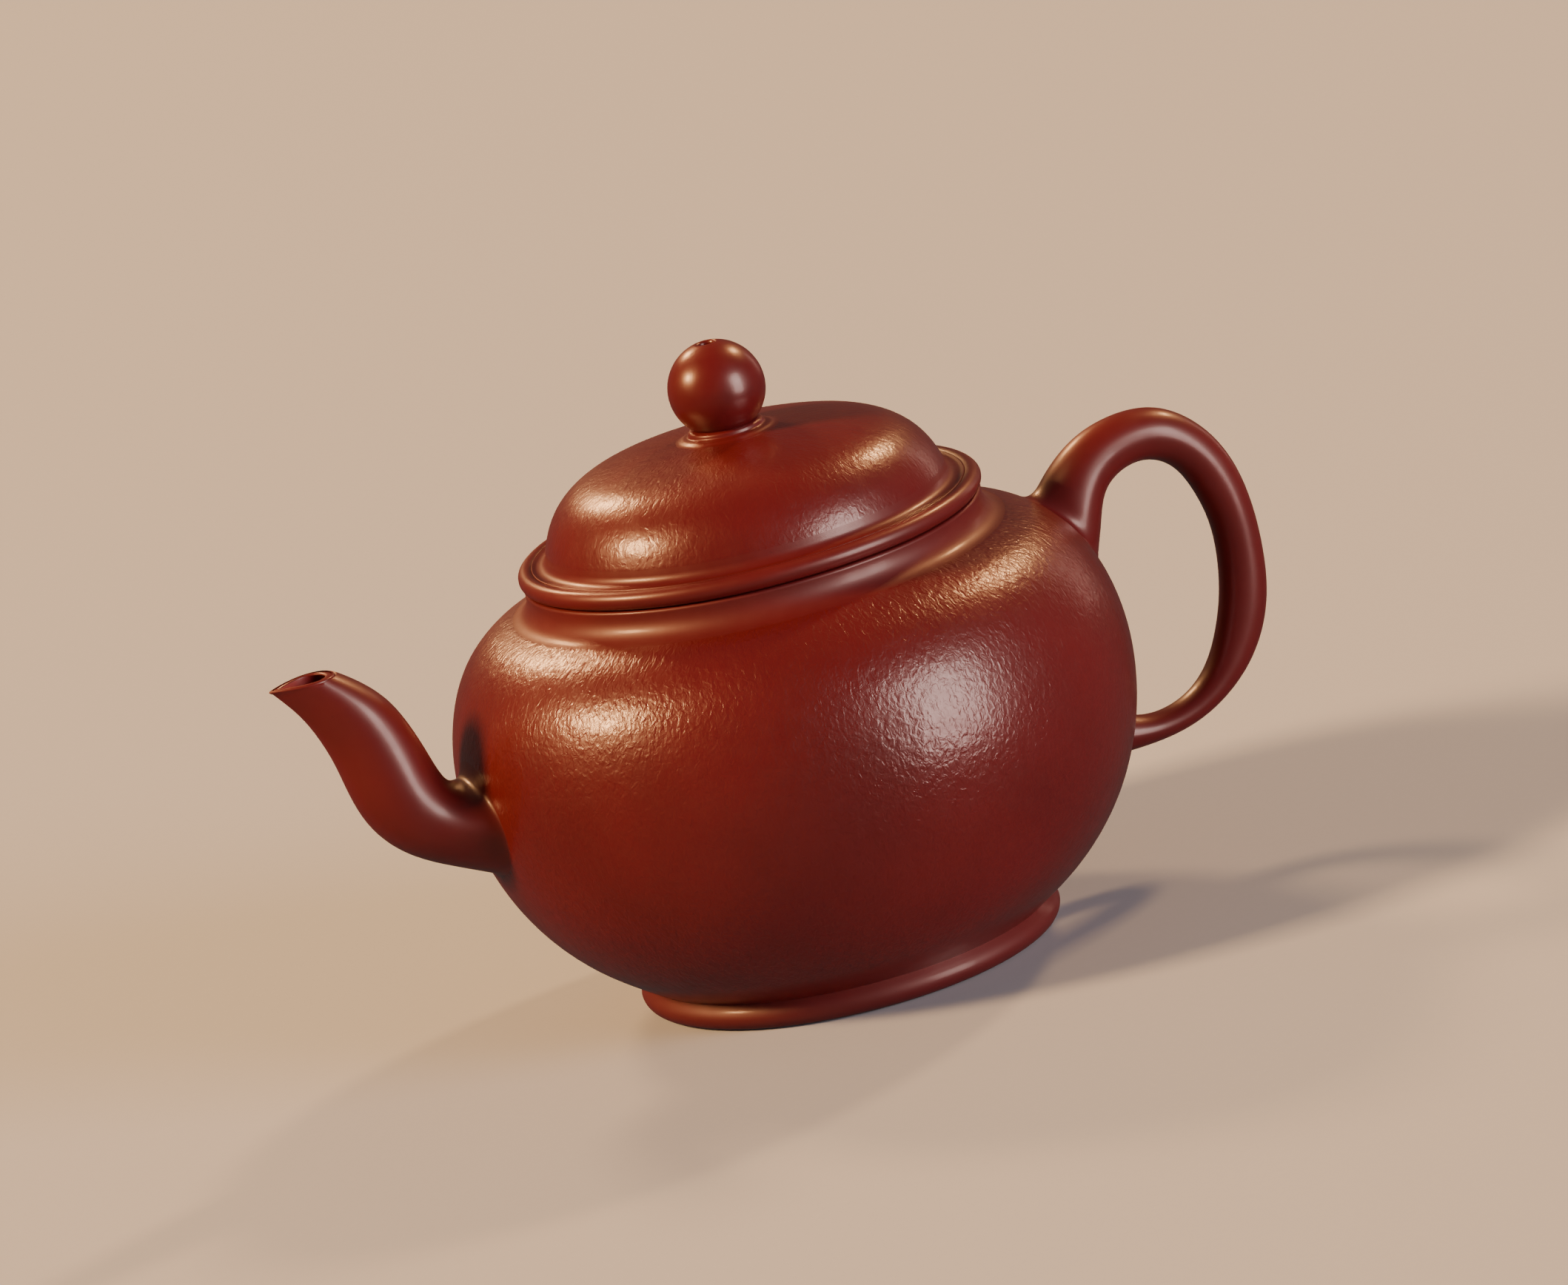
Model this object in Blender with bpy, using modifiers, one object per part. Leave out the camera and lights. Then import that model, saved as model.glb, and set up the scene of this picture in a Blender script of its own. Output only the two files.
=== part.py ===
"""Small round teapot of unglazed red clay, with a ball knob, an S-shaped spout and an ear handle.

The pot is built from the pieces that a potter makes and lutes together: a belly wall closed by
a shoulder slab and a base slab, a neck ring, a foot ring, a hollow spout with a pierced ball
strainer behind it, and a handle. The lid is a domed slab with a bead around its edge, a flange
that drops into the mouth, and a pierced knob on a stepped collar.

Frame: +Z runs up the turning axis, the spout points along -X and the handle along +X, and
Z = 0 is the plane that the foot ring stands on. Outlines are in millimetres as (radius, height)
or (x, z) pairs; MM turns them into metres when a mesh is made.
"""

import math

import bmesh
import bpy
from mathutils import Vector

MM = 0.001

# Driving dimensions, in millimetres.
GAP = 0.3                   # space kept between neighbouring pieces
WALL = 2.6                  # belly, shoulder and base
SEAM_HEIGHT = 48.3          # where the shoulder slab meets the belly wall
BASE_SEAM_RADIUS = 25.2     # where the belly wall meets the base slab

FOOT_RADIUS = 26.0          # widest point of the foot ring
FOOT_HEIGHT = 3.3
FOOT_FACE = (22.3, 23.5)    # inner and outer radius of the flat it stands on

NECK_FOOT_HEIGHT = 50.45    # neck ring on the shoulder slab
LIP_HEIGHT = 53.6
LIP_RADIUS = 27.9
MOUTH_RADIUS = 25.5

LID_UNDERSIDE = LIP_HEIGHT + GAP
LID_WALL = 2.4
DOME_TOP = 66.6
BEAD_CENTRE = (27.2, 54.95)
BEAD_RADIUS = 1.1
FLANGE_RADIUS = 24.9
FLANGE_WALL = 2.5
FLANGE_BOTTOM = 49.6

AIR_HOLE_RADIUS = 1.0
KNOB_RADIUS = 5.85
KNOB_CENTRE_HEIGHT = 72.25
KNOB_NECK_RADIUS = 3.9
COLLAR_RADIUS = 5.7

SPOUT_ROOT_HEIGHT = 29.8
SPOUT_ROOT_HALF = (8.05, 6.2)       # half width across Y, half height
SPOUT_BORE_RADIUS = 5.0             # where the bore meets the belly wall
STRAINER_RADIUS = 6.3
STRAINER_WALL = 1.1
STRAINER_HOLE_RADIUS = 0.7

UPPER_ROOT = (42.4, 5.0, 4.8)       # handle: height, half height, half width across Y
LOWER_ROOT = (16.6, 2.5, 2.8)

TURNED_STEPS = 48
KNOB_STEPS = 32
SECTION_STEPS = 20

# Belly and shoulder, from the foot ring up to the neck ring.
BODY_OUTLINE = [
    (24.9, 3.75), (30.3, 7.3), (36.3, 14.2), (40.1, 23.0), (41.25, 31.0),
    (40.15, 39.4), (37.0, 45.6), (32.3, 49.15), (28.6, 50.4),
]

# Dome of the lid, from the middle out to the flat that carries the bead.
DOME_OUTLINE = [
    (AIR_HOLE_RADIUS, DOME_TOP), (9.5, 66.35), (17.0, 64.95), (21.65, 62.3),
    (24.0, 58.7), (24.6, 56.6), (25.2, 55.95), (26.2, 55.85),
]

# Spout sections from mouth to root: front x, z, back x, z, half width across Y, wall.
SPOUT_SECTIONS = [
    (-61.9, 53.2, -53.7, 53.2, 2.9, 0.75),
    (-59.7, 50.25, -52.2, 52.1, 3.5, 1.0),
    (-57.9, 47.0, -49.85, 50.0, 4.3, 1.3),
    (-56.35, 42.5, -47.45, 46.65, 5.05, 1.6),
    (-55.4, 37.9, -45.75, 42.3, 5.65, 1.9),
    (-53.7, 33.2, -44.8, 39.1, 6.1, 2.0),
    (-50.3, 29.2, -43.9, 36.9, 6.6, 2.0),
    (-45.6, 26.3, -42.6, 35.9, 7.3, 2.1),
]

# Handle sections from shoulder to belly: outer x, z, inner x, z, half width across Y.
HANDLE_SECTIONS = [
    (38.4, 50.6, 42.4, 41.9, 4.4),
    (42.6, 53.35, 44.2, 46.1, 3.75),
    (47.6, 54.55, 47.6, 48.1, 3.4),
    (52.8, 53.9, 50.9, 47.9, 3.3),
    (57.5, 50.6, 53.7, 45.8, 3.2),
    (60.6, 45.6, 55.5, 42.2, 3.15),
    (62.0, 39.4, 56.5, 38.0, 3.1),
    (62.1, 33.2, 56.5, 33.8, 3.0),
    (61.2, 27.2, 55.75, 29.4, 2.95),
    (58.7, 21.9, 54.3, 25.2, 2.8),
    (54.7, 17.8, 52.0, 21.2, 2.6),
    (49.6, 15.1, 48.5, 18.4, 2.4),
    (44.4, 14.05, 44.2, 17.5, 2.35),
]
SECTIONS_PER_SPAN = 2

CLAY_RED = (0.27, 0.045, 0.024)
CLAY_ROUGHNESS = 0.38


def clear_scene():
    """Start from an empty scene."""
    for obj in list(bpy.data.objects):
        bpy.data.objects.remove(obj, do_unlink=True)


def new_collection(name):
    collection = bpy.data.collections.new(name)
    bpy.context.scene.collection.children.link(collection)
    return collection


def clay_material(name, shade):
    """Fired clay; shade lightens or darkens the common red a little."""
    material = bpy.data.materials.new(name)
    material.use_nodes = True
    shader = material.node_tree.nodes["Principled BSDF"]
    shader.inputs["Base Color"].default_value = (*[c * shade for c in CLAY_RED], 1.0)
    shader.inputs["Roughness"].default_value = CLAY_ROUGHNESS
    shader.inputs["Metallic"].default_value = 0.0
    return material


def add_object(name, bm, collection, shade=1.0):
    """Make an object from a bmesh built in millimetres."""
    bmesh.ops.scale(bm, vec=Vector((MM, MM, MM)), verts=bm.verts)
    mesh = bpy.data.meshes.new(name)
    bm.to_mesh(mesh)
    bm.free()
    mesh.materials.append(clay_material(name + "_clay", shade))
    obj = bpy.data.objects.new(name, mesh)
    collection.objects.link(obj)
    return obj


def smooth_curve(points, per_span):
    """Catmull-Rom curve through the points, as a list of 2D tuples."""
    pts = [Vector(p) for p in points]
    pts = [pts[0] * 2 - pts[1]] + pts + [pts[-1] * 2 - pts[-2]]
    curve = []
    for a, b, c, d in zip(pts, pts[1:], pts[2:], pts[3:]):
        for k in range(per_span):
            t = k / per_span
            curve.append(
                0.5 * (2 * b + (c - a) * t + (2 * a - 5 * b + 4 * c - d) * t ** 2
                       + (3 * b - a - 3 * c + d) * t ** 3)
            )
    curve.append(pts[-2])
    return [tuple(p) for p in curve]


def offset_curve(points, distance):
    """Move a curve sideways, to the left of its direction for a positive distance."""
    moved = []
    for i, point in enumerate(points):
        before = Vector(points[max(i - 1, 0)])
        after = Vector(points[min(i + 1, len(points) - 1)])
        along = (after - before).normalized()
        moved.append((point[0] - along.y * distance, point[1] + along.x * distance))
    return moved


def resample(points, count):
    """Points evenly spaced along a polyline."""
    lengths = [0.0]
    for a, b in zip(points, points[1:]):
        lengths.append(lengths[-1] + (Vector(b) - Vector(a)).length)
    result = []
    span = 0
    for k in range(count):
        target = lengths[-1] * k / (count - 1)
        while span < len(points) - 2 and lengths[span + 1] < target:
            span += 1
        part = (target - lengths[span]) / (lengths[span + 1] - lengths[span])
        result.append(tuple(Vector(points[span]).lerp(Vector(points[span + 1]), part)))
    return result


def arc(centre, radius, start, end, count):
    """Points on a circular arc; angles in degrees, 0 points outwards and 90 points up."""
    points = []
    for k in range(count):
        angle = math.radians(start + (end - start) * k / (count - 1))
        points.append((centre[0] + radius * math.cos(angle), centre[1] + radius * math.sin(angle)))
    return points


BODY_CURVE = smooth_curve(BODY_OUTLINE, 12)


def body_radius(height):
    """Outer radius of the belly and shoulder at a height."""
    for low, high in zip(BODY_CURVE, BODY_CURVE[1:]):
        if low[1] <= height <= high[1]:
            part = (height - low[1]) / (high[1] - low[1])
            return low[0] + part * (high[0] - low[0])
    raise ValueError("height is off the body")


def body_slab(keep, count):
    """Closed outline, outer side first and downwards, of a wall over part of the body curve."""
    part = [p for p in BODY_CURVE if keep(p)]
    outer = resample(part, count)
    inner = offset_curve(outer, WALL)
    return outer[::-1] + inner


def turned(name, outline, collection, steps=TURNED_STEPS, shade=1.0):
    """Turn an outline about Z, down its outer side and up the inner; both ends may lie on Z."""
    bm = bmesh.new()
    verts = [bm.verts.new((r, 0.0, z)) for r, z in outline]
    for a, b in zip(verts, verts[1:]):
        bm.edges.new((a, b))
    if outline[0][0] > 0.0:
        bm.edges.new((verts[-1], verts[0]))
    obj = add_object(name, bm, collection, shade)
    screw = obj.modifiers.new("turn", "SCREW")
    screw.axis = "Z"
    screw.angle = math.tau
    screw.steps = steps
    screw.render_steps = steps
    screw.use_merge_vertices = True
    screw.merge_threshold = 0.00002
    return obj


def section(sides, half_width, inset=0.0):
    """Ring of points on an ellipse between two (x, z) points, inset by a wall's thickness."""
    front, back = Vector(sides[:2]), Vector(sides[2:])
    centre = (front + back) / 2
    reach = (front - back) / 2
    reach = reach * (1.0 - inset / reach.length)
    ring = []
    for k in range(SECTION_STEPS):
        angle = math.tau * k / SECTION_STEPS
        offset = reach * math.cos(angle)
        across = (half_width - inset) * math.sin(angle)
        ring.append(Vector((centre.x + offset.x, across, centre.y + offset.y)))
    return ring


def root_ring(side, height, half_height, half_width, clearance, first_up, scale=1.0):
    """Ring on the body's surface, moved out by a clearance; side is -1 or +1 along X."""
    ring = []
    for k in range(SECTION_STEPS):
        angle = math.tau * k / SECTION_STEPS
        z = height + first_up * half_height * scale * math.cos(angle)
        y = half_width * scale * math.sin(angle)
        x = side * math.sqrt((body_radius(z) + clearance) ** 2 - y ** 2)
        ring.append(Vector((x, y, z)))
    return ring


def loft(bm, rings):
    """Skin consecutive rings with quads and return the rings as bmesh vertices."""
    made = [[bm.verts.new(p) for p in ring] for ring in rings]
    for ring, following in zip(made, made[1:]):
        bridge(bm, ring, following)
    return made


def bridge(bm, ring, following):
    count = len(ring)
    for k in range(count):
        after = (k + 1) % count
        bm.faces.new((ring[k], ring[after], following[after], following[k]))


def close_ring(bm, ring, centre):
    """Fan a ring to one point."""
    tip = bm.verts.new(centre)
    for k, vert in enumerate(ring):
        bm.faces.new((vert, ring[(k + 1) % len(ring)], tip))


def face_outwards(bm):
    bmesh.ops.recalc_face_normals(bm, faces=bm.faces)


def shade_smooth(obj, angle=40.0):
    obj.data.shade_smooth()
    obj.data.set_sharp_from_angle(angle=math.radians(angle))


def cut(target, cutter):
    """Subtract a closed cutter, which stays hidden in its own collection."""
    cutter.hide_render = True
    cutter.display_type = "WIRE"
    boolean = target.modifiers.new("cut", "BOOLEAN")
    boolean.operation = "DIFFERENCE"
    boolean.solver = "EXACT"
    boolean.object = cutter


def cylinder(bm, radius, start, end, segments):
    """Closed cylinder between two points."""
    start, end = Vector(start), Vector(end)
    turn = Vector((0, 0, 1)).rotation_difference((end - start).normalized()).to_matrix().to_4x4()
    turn.translation = (start + end) / 2
    bmesh.ops.create_cone(
        bm, cap_ends=True, segments=segments, radius1=radius, radius2=radius,
        depth=(end - start).length, matrix=turn,
    )


def make_body_wall(parts, cutters):
    low = BASE_SEAM_RADIUS
    outline = body_slab(lambda p: p[0] >= low and p[1] <= SEAM_HEIGHT, 13)
    wall = turned("body_wall", outline, parts)
    bm = bmesh.new()
    outside = body_radius(SPOUT_ROOT_HEIGHT) + WALL
    inside = body_radius(SPOUT_ROOT_HEIGHT) - 2 * WALL
    cylinder(
        bm, SPOUT_BORE_RADIUS, (-outside, 0, SPOUT_ROOT_HEIGHT), (-inside, 0, SPOUT_ROOT_HEIGHT),
        SECTION_STEPS,
    )
    cut(wall, add_object("spout_hole", bm, cutters))
    shade_smooth(wall)


def make_shoulder_plate(parts):
    """Slab from the belly's seam in to the mouth, with a flat under the neck ring."""
    seat = NECK_FOOT_HEIGHT - GAP
    rim = [p for p in BODY_CURVE if p[1] > SEAM_HEIGHT + GAP and p[1] < seat]
    outer = resample(rim, 5)
    inner = offset_curve(outer, WALL)
    edge = [(MOUTH_RADIUS, seat), (MOUTH_RADIUS, seat - WALL)]
    shade_smooth(turned("shoulder_plate", edge[:1] + outer[::-1] + inner + edge[1:], parts))


def make_neck_ring(parts):
    """Upright ring, hollowed outside, that flares onto the shoulder."""
    outer = [
        (LIP_RADIUS - 0.2, LIP_HEIGHT), (LIP_RADIUS, LIP_HEIGHT - 0.2),
        (LIP_RADIUS - 0.2, 52.6), (LIP_RADIUS - 0.3, 51.7), (28.0, 51.0), (28.9, NECK_FOOT_HEIGHT),
    ]
    inner = [(MOUTH_RADIUS, NECK_FOOT_HEIGHT), (MOUTH_RADIUS, LIP_HEIGHT)]
    shade_smooth(turned("neck_ring", outer + inner, parts, shade=1.03))


def make_base_plate(parts):
    """Disc that closes the belly inside the foot ring, hollowed a little underneath."""
    wall_edge = offset_curve([p for p in BODY_CURVE if p[0] < BASE_SEAM_RADIUS + 1.0], WALL)[0]
    radius = wall_edge[0] - 3 * GAP
    top = wall_edge[1]
    bottom = top - WALL
    outline = [(0.0, top), (radius, top), (radius, bottom), (radius / 2, bottom + 0.4),
               (0.0, bottom + 0.6)]
    shade_smooth(turned("base_plate", outline, parts, shade=0.95))


def make_foot_ring(parts):
    """Convex ring whose lower edge is drawn in to a narrow flat."""
    top = FOOT_HEIGHT
    outer = [
        (24.9, top), (25.75, 2.8), (FOOT_RADIUS, 2.0), (25.7, 1.2), (24.7, 0.4), (FOOT_FACE[1], 0.0),
    ]
    inner = [(FOOT_FACE[0], 0.0), (21.9, 0.5), (21.9, top)]
    shade_smooth(turned("foot_ring", outer + inner, parts, shade=1.03))


def make_spout(parts):
    """Hollow spout: outer and inner skins, joined at the level mouth and at the root."""
    sections = smooth_curve(SPOUT_SECTIONS, SECTIONS_PER_SPAN)
    outer = [section(s[:4], s[4]) for s in sections]
    inner = [section(s[:4], s[4], inset=s[5]) for s in sections]
    width, height = SPOUT_ROOT_HALF
    outer.append(root_ring(-1, SPOUT_ROOT_HEIGHT, height, width, GAP, -1))
    bore = SPOUT_BORE_RADIUS
    inner.append(root_ring(-1, SPOUT_ROOT_HEIGHT, bore, bore, GAP, -1))
    bm = bmesh.new()
    outer_rings = loft(bm, outer)
    inner_rings = loft(bm, inner)
    bridge(bm, outer_rings[0], inner_rings[0])
    bridge(bm, outer_rings[-1], inner_rings[-1])
    face_outwards(bm)
    shade_smooth(add_object("spout", bm, parts, 1.02))


def make_ball_strainer(parts, cutters):
    """Pierced dome that bulges into the pot behind the spout's hole."""
    radius = STRAINER_RADIUS
    seat = WALL + GAP + 0.15
    base = body_radius(SPOUT_ROOT_HEIGHT) - seat - 0.9

    def dome(size, rim_size):
        rings = []
        for tilt in (12, 30, 48, 66, 82):
            angle = math.radians(tilt)
            ring = []
            for k in range(SECTION_STEPS):
                turn = math.tau * k / SECTION_STEPS
                ring.append(Vector((
                    -base + size * math.cos(angle),
                    size * math.sin(angle) * math.sin(turn),
                    SPOUT_ROOT_HEIGHT - size * math.sin(angle) * math.cos(turn),
                )))
            rings.append(ring)
        rings.append(root_ring(-1, SPOUT_ROOT_HEIGHT, rim_size, rim_size, -seat, -1))
        return rings

    bm = bmesh.new()
    hollow = radius - STRAINER_WALL
    outer_rings = loft(bm, dome(radius, radius))
    inner_rings = loft(bm, dome(hollow, hollow))
    close_ring(bm, outer_rings[0], (-base + radius, 0, SPOUT_ROOT_HEIGHT))
    close_ring(bm, inner_rings[0], (-base + hollow, 0, SPOUT_ROOT_HEIGHT))
    bridge(bm, outer_rings[-1], inner_rings[-1])
    face_outwards(bm)
    strainer = add_object("ball_strainer", bm, parts, 0.95)

    holes = bmesh.new()
    for tilt, number in ((0, 1), (27, 6), (54, 10)):
        for k in range(number):
            turn = math.tau * (k + 0.5) / number
            lean = math.radians(tilt)
            way = Vector((
                math.cos(lean), math.sin(lean) * math.cos(turn), math.sin(lean) * math.sin(turn),
            ))
            centre = Vector((-base, 0, SPOUT_ROOT_HEIGHT))
            start = centre + way * (hollow - 0.8)
            cylinder(holes, STRAINER_HOLE_RADIUS, start, centre + way * (radius + 0.8), 8)
    cut(strainer, add_object("strainer_holes", holes, cutters))
    shade_smooth(strainer)


def make_handle(parts):
    """Solid ear handle, thick at the shoulder and slim at its lower root."""
    rings = [root_ring(1, *UPPER_ROOT, GAP, 1, scale) for scale in (0.5, 1.0)]
    rings += [section(s[:4], s[4]) for s in smooth_curve(HANDLE_SECTIONS, SECTIONS_PER_SPAN)]
    rings += [root_ring(1, *LOWER_ROOT, GAP, -1, scale) for scale in (1.0, 0.5)]
    bm = bmesh.new()
    skin = loft(bm, rings)
    for ring, height in ((skin[0], UPPER_ROOT[0]), (skin[-1], LOWER_ROOT[0])):
        close_ring(bm, ring, (body_radius(height) + GAP, 0, height))
    face_outwards(bm)
    shade_smooth(add_object("handle", bm, parts, 1.02))


def make_lid_plate(parts):
    outer = resample(smooth_curve(DOME_OUTLINE, 8), 15)
    shell = offset_curve(outer, -LID_WALL)
    inner = [p for p in shell if p[1] > LID_UNDERSIDE + LID_WALL / 2]
    edge = [(outer[-1][0], LID_UNDERSIDE), (inner[-1][0], LID_UNDERSIDE)]
    shade_smooth(turned("lid_plate", outer + edge + inner[::-1], parts))


def make_lid_rim(parts):
    """Half-round bead around the lid's edge."""
    inside = DOME_OUTLINE[-1][0] + GAP
    bead = arc(BEAD_CENTRE, BEAD_RADIUS, 110, -90, 10)
    edge = [(inside, LID_UNDERSIDE), (inside, DOME_OUTLINE[-1][1])]
    shade_smooth(turned("lid_rim", bead + edge, parts, shade=1.03))


def make_lid_flange(parts):
    """Collar that centres the lid in the mouth, slightly narrower at its lower edge."""
    top = LID_UNDERSIDE - GAP
    inner = FLANGE_RADIUS - FLANGE_WALL
    outline = [
        (FLANGE_RADIUS, top), (FLANGE_RADIUS, FLANGE_BOTTOM + 0.8),
        (FLANGE_RADIUS - 0.6, FLANGE_BOTTOM), (inner + 0.4, FLANGE_BOTTOM), (inner, top),
    ]
    shade_smooth(turned("lid_flange", outline, parts, shade=0.97))


def make_knob_collar(parts):
    """Two soft steps between the dome and the knob's neck."""
    seat = DOME_TOP + GAP
    top = KNOB_CENTRE_HEIGHT - math.sqrt(KNOB_RADIUS ** 2 - KNOB_NECK_RADIUS ** 2) - GAP
    outline = [
        (AIR_HOLE_RADIUS, top), (KNOB_NECK_RADIUS + 0.3, top), (4.6, top - 0.15),
        (4.75, seat + 0.4), (5.4, seat + 0.3), (COLLAR_RADIUS, seat), (AIR_HOLE_RADIUS, seat),
    ]
    shade_smooth(turned("knob_collar", outline, parts, KNOB_STEPS, 1.03))


def make_knob(parts):
    """Ball on its neck, pierced from top to bottom by the air hole."""
    top = math.degrees(math.acos(AIR_HOLE_RADIUS / KNOB_RADIUS))
    bottom = -math.degrees(math.acos(KNOB_NECK_RADIUS / KNOB_RADIUS))
    ball = arc((0.0, KNOB_CENTRE_HEIGHT), KNOB_RADIUS, top, bottom, 15)
    outline = ball + [(AIR_HOLE_RADIUS, ball[-1][1])]
    shade_smooth(turned("knob", outline, parts, KNOB_STEPS, 1.02))


def main():
    clear_scene()
    parts = new_collection("clay_teapot")
    cutters = new_collection("cutters")
    make_body_wall(parts, cutters)
    make_shoulder_plate(parts)
    make_neck_ring(parts)
    make_base_plate(parts)
    make_foot_ring(parts)
    make_spout(parts)
    make_ball_strainer(parts, cutters)
    make_handle(parts)
    make_lid_plate(parts)
    make_lid_rim(parts)
    make_lid_flange(parts)
    make_knob_collar(parts)
    make_knob(parts)


main()
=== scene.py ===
"""Looks of the small red clay teapot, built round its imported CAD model.

Every clay piece is modelled again as a fine mesh in the place of its CAD node. Outlines are in
millimetres as (radius, height) or (x, z); MM turns them into the frame's metres. +Z runs up the
turning axis, the spout points along -X, the handle along +X, and Z = 0 is the floor. A third
value at a corner of an outline is the radius that the corner is rounded to.
"""

import math

import bmesh
import bpy
import numpy as np
from mathutils import Matrix, Vector, noise


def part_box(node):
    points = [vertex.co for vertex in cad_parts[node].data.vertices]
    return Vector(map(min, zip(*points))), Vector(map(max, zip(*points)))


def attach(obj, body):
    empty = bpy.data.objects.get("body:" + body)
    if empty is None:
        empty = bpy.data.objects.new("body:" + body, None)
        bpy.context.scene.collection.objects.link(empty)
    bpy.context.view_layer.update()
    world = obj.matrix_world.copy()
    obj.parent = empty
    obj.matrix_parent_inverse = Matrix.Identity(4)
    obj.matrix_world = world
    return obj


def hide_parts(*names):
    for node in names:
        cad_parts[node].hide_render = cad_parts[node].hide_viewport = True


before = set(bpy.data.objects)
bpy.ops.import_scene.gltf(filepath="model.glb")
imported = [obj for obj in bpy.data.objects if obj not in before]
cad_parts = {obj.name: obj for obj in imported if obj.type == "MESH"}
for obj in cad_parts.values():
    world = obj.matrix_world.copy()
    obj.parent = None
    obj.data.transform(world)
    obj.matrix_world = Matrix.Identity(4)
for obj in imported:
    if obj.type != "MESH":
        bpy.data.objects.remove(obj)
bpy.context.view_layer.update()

MM = 0.001

# Camera: a long lens from a little above, rolled so that the pot leans towards its spout.
SENSOR_WIDTH = 36.0
LENS = 226.3
CAMERA_DISTANCE = 1.178
CAMERA_AZIMUTH = -16.0
CAMERA_ELEVATION = 14.1
CAMERA_ROLL = -13.6
CAMERA_TARGET = Vector((0.0007, -0.0002, 0.0400))
CAMERA_REACH = 50.0

# How fine the meshes are.
TURNED_SEGMENTS = 288
KNOB_SEGMENTS = 128
SECTION_POINTS = 72
AROUND = np.linspace(0.0, math.tau, SECTION_POINTS, endpoint=False)
MERGE_DISTANCE = 0.0002

# Waviness left by hand work: waves per metre, height. It fades out towards the foot.
BROAD_WAVES = (45.0, 0.10)
SMALL_WAVES = (120.0, 0.03)
EVEN_FOOT_HEIGHT = 6
HAND_SEED = 5

# Belly, neck and base.
WALL = 2.6
BELLY = [
    (24.9, 3.35), (30.3, 7.3), (36.3, 14.2), (40.1, 23.0), (41.25, 31.0),
    (40.15, 39.4), (37.0, 45.6), (33.2, 48.75), (30.2, 50.05),
]
BELLY_ROWS = 110
UNDERSIDE = [(0.0, 3.95), (11.0, 3.75), (22.0, 3.45), (24.9, 3.2)]
MOUTH_RADIUS = 25.5
LIP_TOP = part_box("neck_ring")[1].z / MM + 0.1
NECK_CORNER = (27.6, 50.65, 2.8)
LIP_CORNER = (28.0, LIP_TOP, 0.35)
CEILING = 50.2 - WALL
NECK_INSIDE = [
    (MOUTH_RADIUS, LIP_TOP, 0.25), (MOUTH_RADIUS, CEILING, 0.6), (29.0, CEILING + 0.2),
]
FLOOR_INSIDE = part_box("base_plate")[1].z / MM
FLOOR_CORNER = (25.5, FLOOR_INSIDE, 3.0)
INNER_WALL_SPAN = (FLOOR_INSIDE + 2.5, 47.4)

# Foot ring: outer band and inner side.
FOOT_BAND = [
    (24.85, 3.6), (25.2, 3.15), (25.65, 2.5), (25.85, 1.75), (25.6, 0.9), (24.95, 0.25), (24.1, 0.0),
]
FOOT_INSIDE = [(22.3, 0.0, 0.3), (21.9, 0.8, 0.5), (22.0, 3.6)]

# Spout sections from mouth to root: front x, z, back x, z, half width, how pointed the front is.
SPOUT_SECTIONS = [
    (-61.9, 53.2, -53.7, 53.2, 2.9, 1.0),
    (-59.7, 50.25, -52.2, 52.1, 3.5, 0.7),
    (-57.9, 47.0, -49.85, 50.0, 4.3, 0.4),
    (-56.35, 42.5, -47.45, 46.65, 5.05, 0.2),
    (-55.4, 37.9, -45.75, 42.3, 5.65, 0.1),
    (-53.7, 33.2, -44.8, 39.1, 6.1, 0.0),
    (-50.3, 29.2, -43.9, 36.9, 6.6, 0.0),
    (-45.6, 26.3, -42.6, 35.9, 7.3, 0.0),
]
SPOUT_WALLS = [0.8, 1.0, 1.3, 1.6, 1.9, 2.0, 2.0, 2.1]
SPOUT_ROOT = (29.8, 6.2, 8.05)          # height, half height, half width
SPOUT_BORE = 5.0
SPOUT_FILLET = (0.25, 2.1)              # width all round, and added on top
SPOUT_FILLET_START = 2.4                # how far up the spout the fillet begins
POINTED_INSET = 0.5                     # extra inset of the bore at a pointed front
POINTED_FULLNESS = 1.3

# Rounded lip of the spout: inset and drop, the inner ones from the bore's wall.
SPOUT_LIP_OUTSIDE = [(0.0, 0.25), (0.03, 0.1), (0.1, 0.02), (0.2, 0.0)]
SPOUT_LIP_INSIDE = [(-0.25, 0.0), (-0.1, 0.04), (0.0, 0.2)]

# Ball strainer.
STRAINER_WALL = 1.1
STRAINER_SKIRT = 0.9
STRAINER_HOLE = 0.7
STRAINER_HOLES = ((0, 1), (27, 6), (54, 10))        # tilt from the middle, number of holes

# Handle sections from shoulder to belly: outer x, z, inner x, z, half width.
HANDLE_SECTIONS = [
    (38.4, 50.6, 42.4, 41.9, 4.4),
    (42.6, 53.35, 44.2, 46.1, 3.75),
    (47.6, 54.55, 47.6, 48.1, 3.4),
    (52.8, 53.9, 50.9, 47.9, 3.3),
    (57.5, 50.6, 53.7, 45.8, 3.2),
    (60.6, 45.6, 55.5, 42.2, 3.15),
    (62.0, 39.4, 56.5, 38.0, 3.1),
    (62.1, 33.2, 56.5, 33.8, 3.0),
    (61.2, 27.2, 55.75, 29.4, 2.95),
    (58.7, 21.9, 54.3, 25.2, 2.8),
    (54.7, 17.8, 52.0, 21.2, 2.6),
    (49.6, 15.1, 48.5, 18.4, 2.4),
    (44.4, 14.05, 44.2, 17.5, 2.35),
]
UPPER_ROOT = (42.4, 5.0, 4.8)
LOWER_ROOT = (16.6, 2.5, 2.8)
UPPER_FILLET = (0.9, 0.5)               # width all round, and added below
LOWER_FILLET = 0.45
UPPER_FILLET_START = 2.2
LOWER_FILLET_START = 1.2
END_DEPTH = 0.985                       # closes an end inside the wall, as a share of its x

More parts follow.
